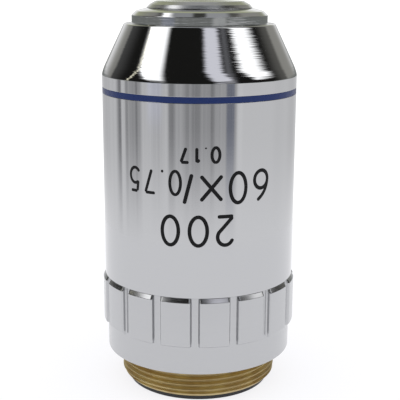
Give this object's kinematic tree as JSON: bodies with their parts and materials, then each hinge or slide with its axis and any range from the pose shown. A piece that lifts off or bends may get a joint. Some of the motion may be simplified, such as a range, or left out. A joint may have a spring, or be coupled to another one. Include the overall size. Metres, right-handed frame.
{
  "type": "microscope objective",
  "caption": "Chromed microscope objective with a conical front, fluted grip ring, brass mounting thread and a spring-loaded nose that slides back into its sleeve.",
  "frame": {"origin": "where the optical axis meets the mounting shoulder, the plane that rests on the nosepiece", "axes": "+Z along the optical axis, from the thread towards the front lens; -Y is the side with the markings"},
  "size_m": [0.025, 0.025, 0.0492],
  "materials": {
    "chrome": "polished chrome plate",
    "brass": "turned and unplated, slightly dulled",
    "black_metal": "matt black",
    "blue_enamel": "gloss enamel",
    "steel": "bright drawn steel",
    "glass": "coated optical glass"
  },
  "bodies": {
    "housing": {"mount_body": "brass", "thread_end_ring": "black_metal", "grip_ring": "chrome", "outer_sleeve": "chrome", "colour_ring": "blue_enamel", "stop_ring": "black_metal", "guide_pin": "steel", "compression_spring": "steel"},
    "nose": {"inner_barrel": "chrome", "front_cell": "chrome", "front_lens": "glass", "meniscus_cell": "black_metal", "meniscus_lens": "glass", "doublet_cell": "black_metal", "doublet_flint": "glass", "doublet_crown": "glass", "spacer_tube": "black_metal", "aperture_stop": "black_metal", "rear_cell": "black_metal", "rear_flint": "glass", "rear_crown": "glass", "rear_retainer": "black_metal"}
  },
  "joints": [
    {"name": "nose_retract", "type": "slide", "parent": "housing", "child": "nose", "axis": [0, 0, -1], "range_m": [0, 0.002], "stiffness_N_per_m": 580, "springref_m": -0.003, "deforming": ["compression_spring"]}
  ]
}
